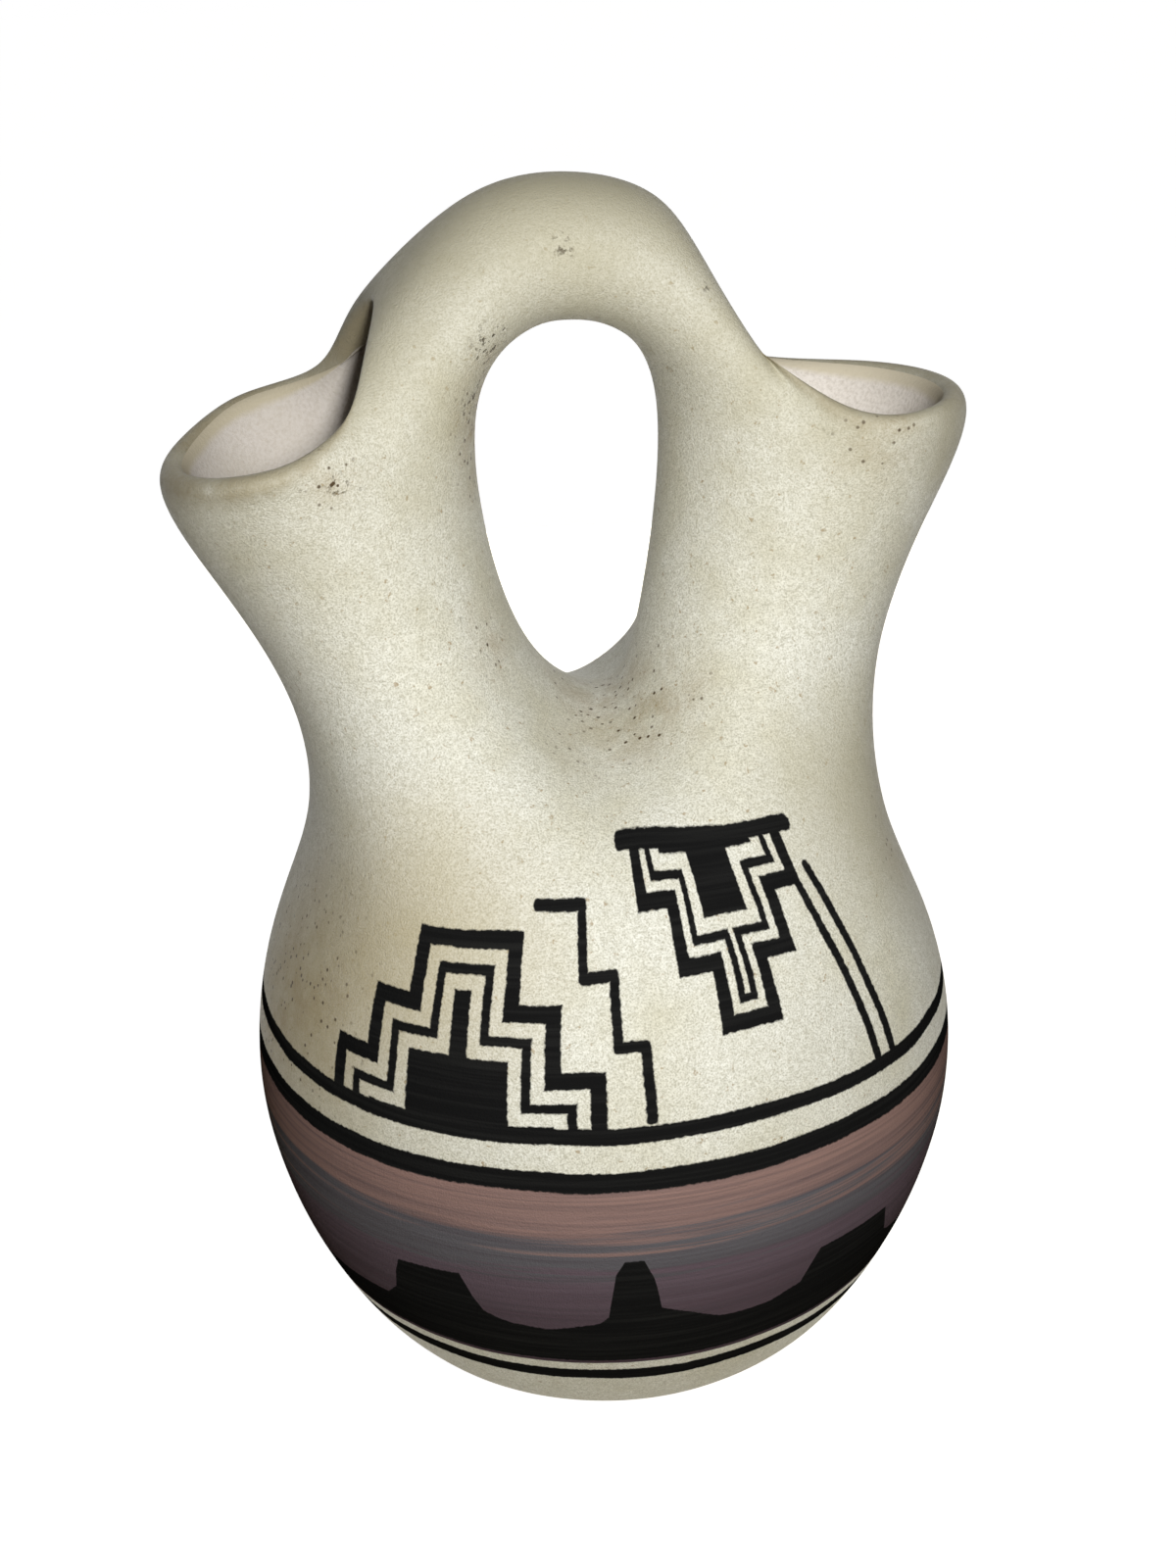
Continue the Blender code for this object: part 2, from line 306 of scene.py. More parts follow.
# Fork: the waist is parted by a saddle, and each half is pulled up into a spout
slope = fork["height"] - fork["slopeDrop"]
saddle = crossOpening(
    waist[3],
    waist[9],
    [
        (fork["dip"][0] + fork["twist"] * fork["slopeDepth"], fork["slopeDepth"], slope),
        (fork["dip"][0], 0, fork["dip"][1]),
        (fork["dip"][0] - fork["twist"] * fork["slopeDepth"], -fork["slopeDepth"], slope),
    ],
)
hips = {}
for side in (1, -1):
    sides = bowl["sides"]
    ownWaist = [waist[k if side > 0 else (sides // 2 - k) % sides] for k in range(sides)]
    half = ownWaist[:4] + saddle + ownWaist[9:]
    lowHeight = fork["height"] + spout["lowRise"]
    lowGain, highGain = spout["rightGain"] if side > 0 else (0, 0)
    lowIn, lowInRise = spout["lowInner"][side > 0]
    low = pullRing(
        half,
        spoutRing(
            side,
            (spout["lowReach"] + lowGain, lowHeight),
            (lowIn, fork["height"] + lowInRise),
            spout["lowHalfDepth"],
            twist=fork["twist"] if side < 0 else 0,
        ),
    )
    tipLift = mouth["rightTipLift"] if side > 0 else 0
    highHeight = fork["height"] + mouth["tipRise"] + tipLift - spout["highDrop"]
    high = pullRing(
        low,
        spoutRing(
            side,
            (spout["highReach"] + highGain, highHeight),
            (spout["highInner"], fork["height"] + spout["highInnerRise"]),
            spout["highHalfDepth"],
            spout["rightSag"] if side > 0 else 0,
        ),
    )
    shift = mouth["heelShift"]
    farReach, nearReach = (side * reach + shift for reach in mouth["ridgeReach"])
    farRise, nearRise = (fork["height"] + rise for rise in mouth["ridgeRise"])
    nearRise += mouth["rightNearRidge"] if side > 0 else 0
    crest = crossOpening(
        high[3],
        high[7],
        [
            (farReach, mouth["ridgeHalfDepth"], farRise),
            (side * mouth["crest"][0] + mouth["crestShift"], 0, fork["height"] + mouth["crest"][1]),
            (nearReach, -mouth["ridgeHalfDepth"], nearRise),
        ],
    )
    pullRing(high[:4] + crest + high[7:], rimRing(side))
    root = high[3:8] + crest[::-1]
    hipAngle = radians(handle["rightHipAngle"] if side > 0 else handle["hipAngle"])
    hips[side] = pullRing(root, archRing(side, hipAngle, *handle["hipRadii"]))
archOuter = handle["archRadius"] + handle["thickness"]
arch = pullRing(hips[1], archRing(1, 0, handle["archRadius"], archOuter))
selectLoops(arch, hips[-1])
bpy.ops.mesh.bridge_edge_loops()
bm = bmesh.from_edit_mesh(form.data)
waistHeight = bowl["waist"][0] * mm
fullHeight = (fork["height"] + handle["loopHeight"] + handle["thickness"]) * mm
for v in bm.verts:
    v.co.x += clay["lean"] * mm * max(0, v.co.z - waistHeight) / (fullHeight - waistHeight)
bmesh.update_edit_mesh(form.data)
bpy.ops.mesh.select_all(action="SELECT")
bpy.ops.mesh.normals_make_consistent(inside=False)
bpy.ops.object.mode_set(mode="OBJECT")
bpy.ops.object.shade_smooth()
print("fork, spouts and bridge pulled:", len(form.data.polygons), "faces")

# Wall, smoothing and the unevenness of hand-made clay
for name in ("inside", "lip"):
    form.vertex_groups.new(name=name)
wall = form.modifiers.new("wall", "SOLIDIFY")
wall.thickness = clay["wall"] * mm
wall.offset = -1
wall.use_even_offset = False
wall.material_offset = 1
wall.shell_vertex_group = "inside"
wall.rim_vertex_group = "lip"
smooth = form.modifiers.new("smooth", "SUBSURF")
smooth.levels = smooth.render_levels = clay["smoothing"]
uneven = form.modifiers.new("uneven", "DISPLACE")
uneven.texture = bpy.data.textures.new("handBuilt", "CLOUDS")
uneven.texture.noise_scale = clay["unevenSize"] * mm
uneven.strength = clay["unevenness"] * mm


def linear(code):  # sRGB hex to linear colour
    parts = [int(code[i : i + 2], 16) / 255 for i in (1, 3, 5)]
    return [p / 12.92 if p <= 0.04045 else ((p + 0.055) / 1.055) ** 2.4 for p in parts] + [1.0]


def node(kind, *inputs, out=0, **settings):  # adds one node with its settings and links
    added = tree.nodes.new("ShaderNode" + kind)
    for name, value in settings.items():
        setattr(added, name, value)
    for socket, value in zip([s for s in added.inputs if s.enabled], inputs):
        if isinstance(value, bpy.types.NodeSocket):
            tree.links.new(value, socket)
        elif value is not None:
            socket.default_value = value
    return [s for s in added.outputs if s.enabled][out]


def nearSpot(spot, far, near, strength):  # 0 beyond far from a spot in mm, full within near
    distance = node("VectorMath", place, spot, operation="DISTANCE")
    return node("MapRange", distance, far, near, 0.0, strength)


# Burnished slip over white earthenware, painted by brush: satin, with grit, streaks and wear
slip = {
    "cream": "#e2e1d6",
    "creamDull": "#c9c4aa",
    "grit": "#b1ae9b",
    "sand": "#9a9682",
    "speck": "#8d7752",
    "handled": "#a59f87",  # greyed by hands on the bridge and lips; also the grey of painted shade on up-facing tops, the right flank and the right spout
    "handledZone": (128.0, 182.0),  # heights where it starts and is full
    # heights where the painted shade on up-facing tops starts and is full
    "upFacingShadeZone": (120.0, 165.0),
    "warmFlankShade": "#ab9d78",  # painted warm shade on the left flank
    "rub": "#92886e",  # clay showing at worn lips
    "heelShadow": "#6f6a58",  # painted shadow beside the bridge, where the near ridge's shadow falls on the far side
    "heelShadowPlace": (-32.0, 10.5, 169.0),
    # brown of soiled patches, and of painted warm shade on the left flank
    "brownStainAndShade": "#8f7a52",
    "grime": "#4a3c28",
    "black": "#161616",
    "blackDry": "#232322",
    "roughness": (0.36, 0.56),
    "sheen": 0.12,
    "paintSheen": 0.0,
    "gritRelief": 0.09,  # mm
    "sandRelief": 0.15,
    "chipDepth": 0.35,
}
texture = {  # features per mm
    "wander": 0.07,
    "bristle": 1.4,
    "streak": (0.011, 0.011, 0.55),
    "fineStreak": (0.03, 0.03, 1.6),
    "cloud": 0.06,
    "grit": 1.1,
    "speck": 0.75,
    "sand": 3.6,  # coarser than real sand, so that it shows
    "mottle": 0.16,
    "pitted": 0.9,
    "pepper": 0.62,
}
brush = {
    "bellyRadius": 56.0,  # where mm round the belly are measured
    "pastSide": 0.2,  # radians by which the front's ornament may pass the side
    "stray": 1.1,  # mm
    "ragged": 0.5,  # mm
    "softEdge": 0.12,
    "ground": 19.9,  # the skyline's foot
    "curveTop": 60.0,  # height at the top of the skyline's curve
    "far": 100.0,  # further from a line than any place
}
sunset = {
    "dry": "#4a4348",  # thin streaks dragged through the colours
    "high": 57.0,
    "low": 18.5,
    "foot": (19.0, 19.2),  # the paint's lower edge
    "drift": 12.0,  # mm the colours run up and down
    "stops": [
        (0.00, "#4a3d44"),
        (0.30, "#52454c"),
        (0.55, "#5f525a"),
        (0.60, "#59575b"),
        (0.70, "#5e5c60"),
        (0.77, "#876e68"),
        (1.00, "#8d726a"),
    ],
}
bands = [(64.05, 1.2), (57.0, 1.65), (15.6, 1.5)]  # height of the middle, half width
terraces = [  # mm round the belly from the front, mm above the upper band
    {
        "at": -33.0,
        "base": 0.0,
        "up": 1,
        "steps": [(22.0, 9.0), (15.5, 18.0), (9.0, 27.0)],  # half width, height
        "lines": [(1.2, 1.2), (5.0, 0.7)],  # depth inside the outline, half width
        "solid": 7.6,
    },
    {
        "at": 12.0,
        "base": 36.0,
        "up": -1,  # hangs from a bar
        "steps": [(16.0, 8.0), (10.5, 16.0), (5.0, 24.0)],
        "lines": [(1.1, 1.1), (4.0, 0.6)],
        "solid": 6.4,
    },
]
strokes = [  # points, half width
    ([(-6.0, 36.0), (30.0, 36.0)], 1.1),
    ([(-5.0, 2.0), (-5.0, 12.0), (-9.0, 12.0), (-9.0, 21.0)], 0.8),
    ([(-9.0, 21.0), (-14.0, 21.0), (-14.0, 30.0), (-22.0, 30.0)], 0.8),
    ([(27.0, 30.0), (33.0, 1.0)], 0.75),
    ([(30.5, 30.0), (36.5, 1.0)], 0.75),
]
# the horizon: degrees round from the front, height in mm
horizon = [
    (-180, 26), (-166, 27), (-163, 35), (-148, 36), (-145, 28), (-128, 25), (-118, 27), (-116, 39),
    (-109, 39), (-107, 29), (-92, 25), (-78, 24), (-66, 26), (-52, 27), (-49, 30), (-47, 37),
    (-35, 38), (-33, 31), (-29, 29), (-22, 28), (-14, 30), (-12, 32), (-11, 43), (-6, 43),
    (-5, 33), (-1, 31), (6, 28), (14, 28), (20, 30), (22, 36), (38, 36), (41, 29),
    (52, 26), (66, 25), (80, 26), (97, 28), (99, 40), (104, 41), (106, 30), (120, 26),
    (135, 28), (138, 34), (156, 34), (160, 28), (180, 26),
]

burnishedSlip = bpy.data.materials.new("burnishedSlip")
burnishedSlip.use_nodes = True
tree = burnishedSlip.node_tree
shader = tree.nodes["Principled BSDF"]

place = node("VectorMath", node("TexCoord", out=3), 1 / mm, operation="SCALE")
wander = node("TexNoise", place, texture["wander"], 2.0, out=1)
wander = node("VectorMath", wander, (0.5, 0.5, 0.5), operation="SUBTRACT")
wander = node("VectorMath", wander, brush["stray"], operation="SCALE")
drawn = node("SeparateXYZ", node("VectorMath", place, wander, operation="ADD"))
x, y, z = drawn.node.outputs
nearer = node("Math", y, -1.0, operation="MULTIPLY")
turn = node("Math", x, nearer, operation="ARCTAN2")
degreesRound = node("Math", turn, 180 / pi, operation="MULTIPLY")
# front and back carry the same ornament
sideTurn = pi / 2 + brush["pastSide"]
around = node("Math", turn, sideTurn, operation="ADD")
around = node("Math", around, pi, 0.0, operation="WRAP")
around = node("Math", around, -sideTurn, operation="ADD")
around = node("Math", around, brush["bellyRadius"], operation="MULTIPLY")
rise = node("Math", z, bands[0][0], operation="SUBTRACT")

ink = brush["far"]  # mm to the nearest line, below 0 inside it
for middle, halfWidth in bands:
    off = node("Math", node("Math", z, middle, operation="SUBTRACT"), operation="ABSOLUTE")
    line = node("Math", off, halfWidth, operation="SUBTRACT")
    ink = node("Math", ink, line, operation="MINIMUM")

for motif in terraces:
    fold = node("Math", around, motif["at"], operation="SUBTRACT")
    fold = node("Math", fold, operation="ABSOLUTE")
    climb = node("Math", rise, motif["base"], operation="SUBTRACT")
    climb = node("Math", climb, motif["up"], operation="MULTIPLY")
    stepped = brush["far"]
    for halfWidth, height in motif["steps"]:
        beside = node("Math", fold, halfWidth, operation="SUBTRACT")
        beyond = node("Math", climb, height, operation="SUBTRACT")
        step = node("Math", beside, beyond, operation="MAXIMUM")
        stepped = node("Math", stepped, step, operation="MINIMUM")
    drawing = node("Math", stepped, motif["solid"], operation="ADD")
    for depth, halfWidth in motif["lines"]:
        off = node("Math", node("Math", stepped, depth, operation="ADD"), operation="ABSOLUTE")
        line = node("Math", off, halfWidth, operation="SUBTRACT")
        drawing = node("Math", drawing, line, operation="MINIMUM")
    below = node("Math", -0.5, climb, operation="SUBTRACT")
    drawing = node("Math", drawing, below, operation="MAXIMUM")
    ink = node("Math", ink, drawing, operation="MINIMUM")
flat = node("CombineXYZ", around, rise, 0.0)
for points, halfWidth in strokes:
    for start, end in zip(points, points[1:]):
        start, end = Vector((*start, 0)), Vector((*end, 0))
        run = end - start
        offset = node("VectorMath", flat, start, operation="SUBTRACT")
        along = node("VectorMath", offset, run / run.length_squared, operation="DOT_PRODUCT")
        along = node("Math", along, 0.0, operation="ADD", use_clamp=True)
        reach = node("VectorMath", run, along, operation="SCALE")
        gap = node("VectorMath", offset, reach, operation="DISTANCE")
        line = node("Math", gap, halfWidth, operation="SUBTRACT")
        ink = node("Math", ink, line, operation="MINIMUM")

skyline = node("FloatCurve", 1.0, node("MapRange", degreesRound, -180.0, 180.0, 0.0, 1.0))
curve = skyline.node.mapping.curves[0]
for i, (degrees, height) in enumerate(horizon):
    spot = ((degrees + 180) / 360, height / brush["curveTop"])
    if i in (0, len(horizon) - 1):
        point = curve.points[0 if i == 0 else len(curve.points) - 1]
        point.location = spot
    else:
        point = curve.points.new(*spot)
    point.handle_type = "VECTOR"
skyline.node.mapping.update()
land = node("Math", skyline, -brush["curveTop"], z, operation="MULTIPLY_ADD")
ground = node("Math", brush["ground"], z, operation="SUBTRACT")
land = node("Math", land, ground, operation="MAXIMUM")
ink = node("Math", ink, land, operation="MINIMUM")
bristle = node("TexNoise", place, texture["bristle"], 2.0)
ink = node("Math", ink, brush["ragged"] / 2, operation="SUBTRACT")
ink = node("Math", bristle, brush["ragged"], ink, operation="MULTIPLY_ADD")
inked = node("MapRange", ink, brush["softEdge"], -brush["softEdge"], 0.0, 1.0)

# streaks run round the pot, as a loaded brush leaves them on the wheel
streakPlace = node("Mapping", place, None, None, texture["streak"])
streak = node("TexNoise", streakPlace, 1.0, 4.0, 0.62)
finePlace = node("Mapping", place, None, None, texture["fineStreak"])
fineStreak = node("TexNoise", finePlace, 1.0, 3.0, 0.6)
drift = node("MapRange", streak, 0.0, 1.0, -sunset["drift"], sunset["drift"])
paintHeight = node("Math", z, drift, operation="ADD")
sky = node("MapRange", paintHeight, sunset["low"], sunset["high"], 0.0, 1.0)
sky = node("ValToRGB", sky)
ramp = sky.node.color_ramp
for i, (spot, code) in enumerate(sunset["stops"]):
    stop = ramp.elements[i] if i < 2 else ramp.elements.new(spot)
    stop.position, stop.color = spot, linear(code)

dry = node("MapRange", fineStreak, 0.40, 0.72, 0.0, 0.55)
sky = node("Mix", dry, sky, linear(sunset["dry"]), data_type="RGBA")

# cream slip with cloudy dull patches, grit and specks
cloud = node("TexNoise", place, texture["cloud"], 4.0, 0.6)
grit = node("TexNoise", place, texture["grit"], 3.0, 0.65)
speck = node("TexNoise", place, texture["speck"], 2.0, 0.7)
sand = node("TexNoise", place, texture["sand"], 2.0, 0.6)
flecks = [  # pattern, where it starts and is full, strength, tint
    (cloud, 0.42, 0.75, 0.75, "creamDull"),
    (grit, 0.35, 0.75, 0.45, "grit"),
    (sand, 0.40, 0.70, 0.75, "sand"),
    (speck, 0.66, 0.73, 0.65, "speck"),
]
cream = linear(slip["cream"])
for pattern, start, full, strength, tint in flecks:
    share = node("MapRange", pattern, start, full, 0.0, strength)
    cream = node("Mix", share, cream, linear(slip[tint]), data_type="RGBA")

# grey of handling high up; painted shade greys the tops that face up, and painted shade in patches
# greys the right flank and the right spout and warms the left flank
touched = node("MapRange", cloud, 0.3, 0.7, -9.0, 9.0)
touched = node("Math", z, touched, operation="ADD")
touched = node("MapRange", touched, *slip["handledZone"], 0.0, 0.62)
cream = node("Mix", touched, cream, linear(slip["handled"]), data_type="RGBA")
# painted shade: grey patches on the right flank and the right spout, warm ones on the left flank
paintedShadeSpots = [  # place in mm, radius, strength, tint
    ((48.0, -6.0, 84.0), 34.0, 0.75, "handled"),
    ((36.0, -26.0, 97.0), 24.0, 0.70, "handled"),
    ((55.0, -17.0, 153.0), 13.0, 0.60, "handled"),
    ((-36.0, -32.0, 84.0), 30.0, 0.60, "warmFlankShade"),
    ((-56.0, -14.0, 70.0), 32.0, 0.70, "warmFlankShade"),
]
for spot, radius, strength, tint in paintedShadeSpots:
    patch = nearSpot(spot, radius, 6.0, strength)
    cream = node("Mix", patch, cream, linear(slip[tint]), data_type="RGBA")
# painted shade: tops that face up are greyed, high on the form
facing = node("SeparateXYZ", node("NewGeometry", out=1), out=2)
facing = node("MapRange", facing, 0.3, 0.95, 0.0, 0.95)
upFacingShade = node("MapRange", z, *slip["upFacingShadeZone"], 0.0, 1.0)
upFacingShade = node("Math", facing, upFacingShade, operation="MULTIPLY")
cream = node("Mix", upFacingShade, cream, linear(slip["handled"]), data_type="RGBA")
# painted shadow on the left spout's far side, beside the bridge
heelShadow = nearSpot(slip["heelShadowPlace"], 15.0, 6.0, 0.85)
cream = node("Mix", heelShadow, cream, linear(slip["heelShadow"]), data_type="RGBA")

# worn lips, brown soiling from handling, painted shade in patches on the flanks, and small chips
lip = node("Attribute", attribute_name="lip", out=2)
worn = node("MapRange", cloud, 0.2, 0.7, 0.4, 1.2)
worn = node("Math", lip, worn, operation="MULTIPLY")
lessRight = node("MapRange", x, -5.0, 30.0, 1.0, 0.7)
worn = node("Math", worn, lessRight, operation="MULTIPLY")
worn = node("MapRange", worn, 0.42, 0.95, 0.0, 0.90)
cream = node("Mix", worn, cream, linear(slip["rub"]), data_type="RGBA")
stainsAndShade = [  # place in mm, radius, strength
    ((0.5, 0.0, 109.0), 14.0, 0.85),
    ((-15.0, -6.0, 160.0), 13.0, 0.80),
    ((-18.0, -9.0, 153.0), 10.0, 0.80),
    # painted warm shade on the left flank, with real specks in it
    ((-52.0, -14.0, 70.0), 30.0, 0.80),
    # darker and browner at the right waist
    ((43.0, -24.0, 91.0), 12.0, 0.45),
    ((9.0, -14.0, 111.0), 14.0, 0.95),
    ((-5.0, -18.0, 108.0), 10.0, 0.35),
    ((-17.0, -13.0, 126.0), 9.0, 0.55),
    ((-38.6, -23.5, 153.0), 7.0, 0.60),
    ((39.5, -24.4, 152.7), 10.0, 0.50),
]
mottle = node("TexNoise", place, texture["mottle"], 5.0, 0.7)
haze = node("MapRange", mottle, 0.42, 0.68, 0.1, 0.9)
dirty = node("MapRange", mottle, 0.37, 0.49, 0.0, 1.0)
pepper = node("TexVoronoi", place, texture["pepper"])
pepper = node("MapRange", pepper, 0.22, 0.12, 0.0, 2.6)
pepper = node("Math", pepper, dirty, operation="MULTIPLY")
for spot, radius, strength in stainsAndShade:
    near = nearSpot(spot, radius, 0.0, strength)
    for pattern, tint in ((haze, "brownStainAndShade"), (pepper, "grime")):
        share = node("Math", near, pattern, operation="MULTIPLY")
        cream = node("Mix", share, cream, linear(slip[tint]), data_type="RGBA")
chips = [  # place in mm, radius
    ((-3.4, -12.2, 181.4), 2.4),
    ((16.9, -13.9, 174.8), 1.2),
    ((-38.6, -23.5, 153.0), 2.2),
    ((-14.7, -12.7, 168.4), 4.8),
    ((-16.8, -10.5, 161.0), 5.0),
]
chipped = 0.0
for spot, radius in chips:
    close = nearSpot(spot, radius, radius * 0.3, 1.0)
    chipped = node("Math", chipped, close, operation="MAXIMUM")
pits = node("TexNoise", place, texture["pitted"], 2.0, 0.6)
pits = node("MapRange", pits, 0.55, 0.66, 0.0, 1.0)
chipped = node("Math", chipped, pits, operation="MULTIPLY")

# the blended band, the black over it and the chips through all
inBand = node("Math", z, sunset["high"], operation="SUBTRACT")
inBand = node("MapRange", inBand, 0.1, -0.1, 0.0, 1.0)
aboveFoot = node("MapRange", z, *sunset["foot"], 0.0, 1.0)
inBand = node("Math", inBand, aboveFoot, operation="MULTIPLY")
colour = node("Mix", inBand, cream, sky, data_type="RGBA")
black = node("MapRange", fineStreak, 0.45, 0.8, 0.0, 1.0)
black = node("Mix", black, linear(slip["black"]), linear(slip["blackDry"]), data_type="RGBA")
colour = node("Mix", inked, colour, black, data_type="RGBA")
grimy = node("Math", chipped, 0.8, operation="MULTIPLY")
colour = node("Mix", grimy, colour, linear(slip["grime"]), data_type="RGBA")
tree.links.new(colour, shader.inputs["Base Color"])
roughness = node("MapRange", grit, 0.3, 0.7, *slip["roughness"])
tree.links.new(roughness, shader.inputs["Roughness"])
painted = node("Math", inked, inBand, operation="MAXIMUM")
sheen = node("MapRange", painted, 0.0, 1.0, slip["sheen"], slip["paintSheen"])
tree.links.new(sheen, shader.inputs["Specular IOR Level"])
relief = node("Math", chipped, -slip["chipDepth"], operation="MULTIPLY")
relief = node("Math", grit, slip["gritRelief"], relief, operation="MULTIPLY_ADD")
relief = node("Math", sand, slip["sandRelief"], relief, operation="MULTIPLY_ADD")
relief = node("Bump", 1.0, mm, None, relief)
tree.links.new(relief, shader.inputs["Normal"])
print("burnished slip painted:", len(tree.nodes), "nodes")

# Bare earthenware inside: chalky, pinkish white, with the drag marks of draining slip
earthenware = {  # pairs are left and right: painted shade darkens the left inside and painted light brightens the right one, where the lamp lights them unevenly
    "chalk": ("#cac3bb", "#e6dfd6"),
    "dull": ("#bfb8ad", "#dad2c7"),
    "lipSlip": ("#b9af96", "#cdc3aa"),  # the slip's edge inside the mouths
    "grain": "#a89d8c",
    "grainScale": 1.7,  # features per mm
    "driftScale": 0.07,
    "roughness": 0.85,
    "sheen": 0.2,
    "relief": 0.12,  # mm
}
chalky = bpy.data.materials.new("chalkyEarthenware")
chalky.use_nodes = True
tree = chalky.node_tree
shader = tree.nodes["Principled BSDF"]
place = node("VectorMath", node("TexCoord", out=3), 1 / mm, operation="SCALE")
grain = node("TexNoise", place, earthenware["grainScale"], 4.0, 0.65)
drift = node("TexNoise", place, earthenware["driftScale"], 3.0)
# painted shade and light: the inside is darker on the left and lighter on the right
leftRightShadeOffset = node("MapRange", node("SeparateXYZ", place), -25.0, 25.0, 0.0, 1.0)
chalk, dull, edge = (
    node("Mix", leftRightShadeOffset, *map(linear, earthenware[finish]), data_type="RGBA")
    for finish in ("chalk", "dull", "lipSlip")
)
patchy = node("MapRange", drift, 0.35, 0.7, 0.0, 1.0)
colour = node("Mix", patchy, chalk, dull, data_type="RGBA")
gritty = node("MapRange", grain, 0.42, 0.72, 0.0, 0.50)
colour = node("Mix", gritty, colour, linear(earthenware["grain"]), data_type="RGBA")
lip = node("Attribute", attribute_name="lip", out=2)
ragged = node("Math", lip, 0.15, operation="SUBTRACT")
ragged = node("Math", drift, 0.3, ragged, operation="MULTIPLY_ADD")
ragged = node("MapRange", ragged, 0.58, 0.72, 0.0, 0.9)
colour = node("Mix", ragged, colour, edge, data_type="RGBA")
tree.links.new(colour, shader.inputs["Base Color"])
shader.inputs["Roughness"].default_value = earthenware["roughness"]
shader.inputs["Specular IOR Level"].default_value = earthenware["sheen"]
relief = node("Math", grain, earthenware["relief"], operation="MULTIPLY")
relief = node("Bump", 1.0, mm, None, relief)
tree.links.new(relief, shader.inputs["Normal"])
print("chalky earthenware made:", len(tree.nodes), "nodes")

form.data.materials.append(burnishedSlip)
form.data.materials.append(chalky)
bpy.ops.object.select_all(action="DESELECT")
form.select_set(True)
bpy.context.view_layer.objects.active = form
for name in ("wall", "smooth", "uneven"):
    bpy.ops.object.modifier_apply(modifier=name)
lipGroup = form.vertex_groups["lip"].index
lipWeights = [sum(g.weight for g in v.groups if g.group == lipGroup) for v in form.data.vertices]
form.vertex_groups.clear()
form.data.attributes.new("lip", "FLOAT", "POINT").data.foreach_set("value", lipWeights)
for v in form.data.vertices:
    v.co.z = max(v.co.z, 0)  # pressed flat on the bench
for face in form.data.polygons:
    if face.center.z < 0.3 * mm and face.normal.z < -0.9:
        face.material_index = 1  # the underside is left bare
print("wall and smoothing applied:", len(form.data.polygons), "faces")

# Luted seams: the skin is parted where the clay members join, and meets edge to edge
seams = {
    "foot": 10.0,
    "shoulder": 57.1,
    "fork": 100.5,
    "handleAngle": 38.0,
    "flatness": 1e-6,  # m, for faces that lie in a cut
}


def leanAt(height):
    return clay["lean"] * (height * mm - waistHeight) / (fullHeight - waistHeight)


archHeight = fork["height"] + handle["loopHeight"] - handle["archRadius"]
archMiddle = Vector((handle["hipShift"] + leanAt(archHeight), 0, archHeight)) * mm
splitX = fork["shift"] + leanAt(fork["height"])
flankTilt = radians(seams["handleAngle"])
footCut = Vector((0, 0, seams["foot"])) * mm
shoulderCut = Vector((0, 0, seams["shoulder"])) * mm
forkCut = Vector((splitX, 0, seams["fork"])) * mm
upward = Vector((0, 0, 1))
sideways = Vector((1, 0, 0))
leftFlank = Vector((-cos(flankTilt), 0, -sin(flankTilt)))  # points out of the handle, to the left
rightFlank = Vector((cos(flankTilt), 0, -sin(flankTilt)))
# node, then each cut as a point and the direction that is cleared away
members = {
    "foot_slab": [(footCut, upward)],
    "belly_bowl": [(footCut, -upward), (shoulderCut, upward)],
    "shoulder_ring": [(shoulderCut, -upward), (forkCut, upward)],
    "left_spout": [(forkCut, -upward), (forkCut, sideways), (archMiddle, -leftFlank)],
    "right_spout": [(forkCut, -upward), (forkCut, -sideways), (archMiddle, -rightFlank)],
    "bridge_handle": [(archMiddle, leftFlank), (archMiddle, rightFlank)],
}
# every point carries the unparted skin's smooth normal through the cuts
form.data.update()
skin = form.data.attributes.new("skin", "FLOAT_VECTOR", "POINT")
skin.data.foreach_set("vector", [part for v in form.data.vertices for part in v.normal])

for name, cuts in members.items():
    bpy.ops.object.select_all(action="DESELECT")
    form.select_set(True)
    bpy.context.view_layer.objects.active = form
    bpy.ops.object.duplicate()
    piece = bpy.context.object
    piece.name = piece.data.name = name.title().replace("_", "")
    bpy.ops.object.mode_set(mode="EDIT")
    for point, away in cuts:
        bpy.ops.mesh.select_all(action="SELECT")
        bpy.ops.mesh.bisect(
            plane_co=point, plane_no=away, use_fill=True, clear_outer=True, threshold=1e-7
        )
    bpy.ops.object.mode_set(mode="OBJECT")
    skin = piece.data.attributes["skin"]
    smoothNormals = [point.vector.normalized() for point in skin.data]
    piece.data.attributes.remove(skin)
    normals = []
    for face in piece.data.polygons:
        spots = [piece.data.vertices[i].co for i in face.vertices]
        flatFace = any(
            all(abs((spot - point).dot(away)) < seams["flatness"] for spot in spots)
            for point, away in cuts
        )
        face.use_smooth = not flatFace
        if flatFace:
            face.material_index = 1
        normals += [face.normal.copy() if flatFace else smoothNormals[i] for i in face.vertices]
    piece.data.normals_split_custom_set(normals)
    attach(piece, "root")
    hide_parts(name)
    print(piece.name, len(piece.data.polygons), "faces")
bpy.data.objects.remove(form)

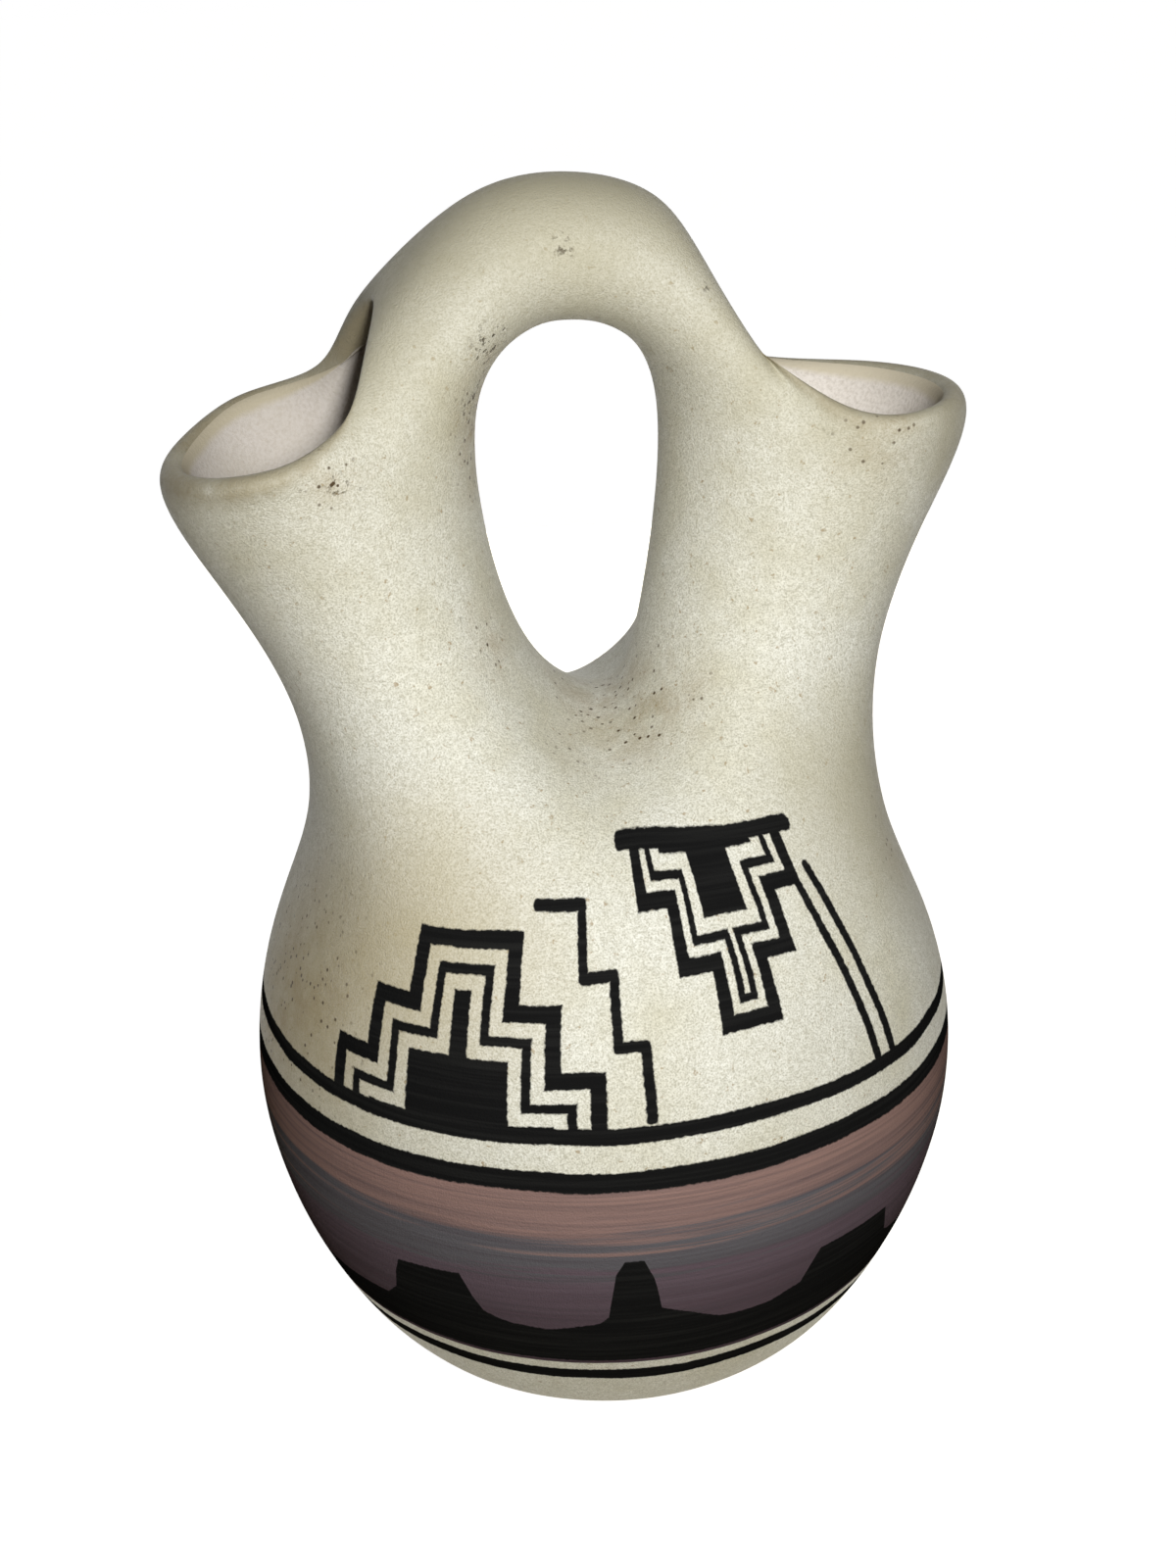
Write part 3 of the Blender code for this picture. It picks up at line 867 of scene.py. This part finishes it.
# Floor, backdrop and soft studio light
studio = {
    "floorSize": 40.0,  # m
    "paper": "#b2aa94",
    "glow": 0.99,  # the backdrop shows as white
    "key": 1.27,  # watts
    "keySize": (0.022, 0.08),  # an upright strip
    "keyPlace": (0.032, 0.03, 0.02),  # beside, above and behind the lens
    "back": 1.2,  # a low lamp for the far side
    "backSize": 0.25,
    "backPlace": (0.10, 0.50, 0.04),
    "fill": 0.03,
}


def seenRays():  # 1 for what is seen straight, mirrored or through glass
    rays = node("LightPath")
    seen = node("Math", rays, rays.node.outputs["Is Glossy Ray"], operation="MAXIMUM")
    return node("Math", seen, rays.node.outputs["Is Transmission Ray"], operation="MAXIMUM")


def hangLamp(name, watts, pose):
    data = bpy.data.lights.new(name, "AREA")
    data.energy = watts
    lamp = bpy.data.objects.new(name, data)
    bpy.context.scene.collection.objects.link(lamp)
    lamp.matrix_world = pose
    return lamp


bpy.ops.object.select_all(action="DESELECT")
bpy.ops.mesh.primitive_plane_add(size=studio["floorSize"])
floor = bpy.context.object
floor.name = "paleFloor"
# Backdrop paper: matt, white to the eye, with a dim warm light thrown back on the vase
paper = bpy.data.materials.new("whitePaper")
paper.use_nodes = True
tree = paper.node_tree
tree.nodes.remove(tree.nodes["Principled BSDF"])
matte = node("BsdfDiffuse", linear(studio["paper"]))
glow = node("Math", seenRays(), studio["glow"], operation="MULTIPLY")
glow = node("Emission", linear("#ffffff"), glow)
tree.links.new(node("AddShader", matte, glow), tree.nodes["Material Output"].inputs[0])
floor.data.materials.append(paper)

keyPose = eye.matrix_world @ Matrix.Translation(studio["keyPlace"])
key = hangLamp("softKey", studio["key"], keyPose)
key.data.shape = "ELLIPSE"
key.data.size, key.data.size_y = studio["keySize"]

backPlace = Vector(studio["backPlace"])
backTurn = backPlace.to_track_quat("Z", "Y").to_matrix().to_4x4()
back = hangLamp("softBack", studio["back"], Matrix.Translation(backPlace) @ backTurn)
back.data.size = studio["backSize"]
back.visible_camera = back.visible_glossy = False

world = bpy.data.worlds.new("studio")
bpy.context.scene.world = world
world.use_nodes = True
tree = world.node_tree
background = tree.nodes["Background"]
strength = node("MapRange", seenRays(), 0.0, 1.0, studio["fill"], 1.0)
tree.links.new(strength, background.inputs["Strength"])
background.inputs["Color"].default_value = linear("#ffffff")
print("studio set")
